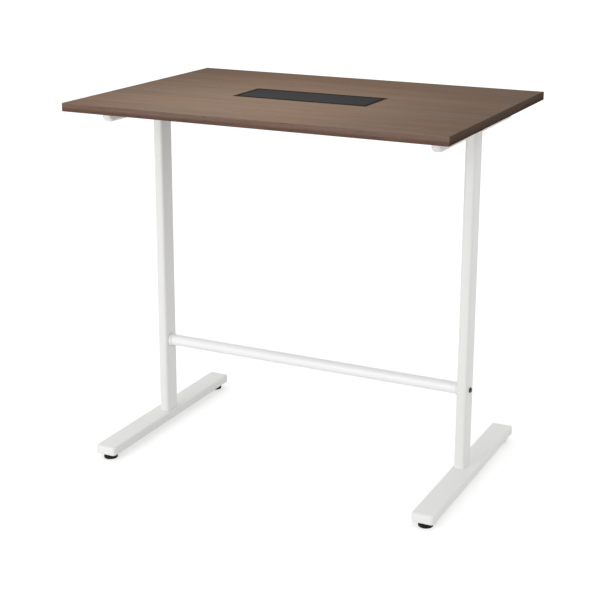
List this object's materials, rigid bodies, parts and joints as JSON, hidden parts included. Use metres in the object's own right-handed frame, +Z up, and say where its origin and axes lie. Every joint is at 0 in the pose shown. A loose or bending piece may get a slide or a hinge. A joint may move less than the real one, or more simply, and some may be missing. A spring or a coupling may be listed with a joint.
{
  "type": "high conference table",
  "caption": "High conference table: rectangular wood-look top with a hinged cable box, T-shaped tube legs, a round foot rail and levelling glides.",
  "frame": {"origin": "on the floor under the middle of the top, with the glides screwed in", "axes": "+X along the top's length, +Y from the cord slot's side to the lid's hinge side, +Z up"},
  "size_m": [1.05, 0.75, 1],
  "materials": {
    "laminate": "grey-brown wood-grain laminate, satin",
    "edge_plastic": "brown wood-grain edge band",
    "white_paint": "white powder coat, satin",
    "white_plastic": "white moulded plastic",
    "black_plastic": "black moulded plastic",
    "lid_plastic": "slate grey, satin",
    "frame_plastic": "dark brown-black, satin",
    "tray_paint": "light grey powder coat",
    "zinc_steel": "zinc-plated steel",
    "black_steel": "black-coated steel"
  },
  "bodies": {
    "table": {"top_board": "laminate", "edge_band_front": "edge_plastic", "edge_band_back": "edge_plastic", "edge_band_left": "edge_plastic", "edge_band_right": "edge_plastic", "cable_frame": "frame_plastic", "lid_pin_left": "zinc_steel", "lid_pin_right": "zinc_steel", "cable_tray": "tray_paint", "tray_screw_left_front": "zinc_steel", "tray_screw_left_back": "zinc_steel", "tray_screw_right_front": "zinc_steel", "tray_screw_right_back": "zinc_steel", "arm_left": "white_paint", "arm_right": "white_paint", "arm_cap_left_front": "white_plastic", "arm_cap_left_back": "white_plastic", "arm_cap_right_front": "white_plastic", "arm_cap_right_back": "white_plastic", "arm_screw_left_front": "zinc_steel", "arm_screw_left_back": "zinc_steel", "arm_screw_right_front": "zinc_steel", "arm_screw_right_back": "zinc_steel", "post_left": "white_paint", "post_right": "white_paint", "post_plug_left": "zinc_steel", "post_plug_right": "zinc_steel", "foot_bolt_left_front": "black_steel", "foot_bolt_left_back": "black_steel", "foot_bolt_right_front": "black_steel", "foot_bolt_right_back": "black_steel", "foot_left": "white_paint", "foot_right": "white_paint", "foot_cap_left_front": "white_plastic", "foot_cap_left_back": "white_plastic", "foot_cap_right_front": "white_plastic", "foot_cap_right_back": "white_plastic", "glide_nut_left_front": "zinc_steel", "glide_nut_left_back": "zinc_steel", "glide_nut_right_front": "zinc_steel", "glide_nut_right_back": "zinc_steel", "foot_rail": "white_paint", "rail_collar_left": "white_plastic", "rail_collar_right": "white_plastic", "rail_plug_left": "zinc_steel", "rail_plug_right": "zinc_steel", "rail_bolt_left": "black_steel", "rail_bolt_right": "black_steel"},
    "lid": {"cable_lid": "lid_plastic"},
    "glide_left_front": {"glide_pad_left_front": "black_plastic", "glide_stud_left_front": "zinc_steel"},
    "glide_left_back": {"glide_pad_left_back": "black_plastic", "glide_stud_left_back": "zinc_steel"},
    "glide_right_front": {"glide_pad_right_front": "black_plastic", "glide_stud_right_front": "zinc_steel"},
    "glide_right_back": {"glide_pad_right_back": "black_plastic", "glide_stud_right_back": "zinc_steel"}
  },
  "joints": [
    {"name": "lid_hinge", "type": "hinge", "parent": "table", "child": "lid", "pos_m": [0, 0.06, 0.9975], "axis": [-1, 0, 0], "range_deg": [0, 97]},
    {"name": "glide_slide_left_front", "type": "slide", "parent": "table", "child": "glide_left_front", "axis": [0, 0, -1], "range_m": [0, 0.012]},
    {"name": "glide_slide_left_back", "type": "slide", "parent": "table", "child": "glide_left_back", "axis": [0, 0, -1], "range_m": [0, 0.012]},
    {"name": "glide_slide_right_front", "type": "slide", "parent": "table", "child": "glide_right_front", "axis": [0, 0, -1], "range_m": [0, 0.012]},
    {"name": "glide_slide_right_back", "type": "slide", "parent": "table", "child": "glide_right_back", "axis": [0, 0, -1], "range_m": [0, 0.012]}
  ]
}
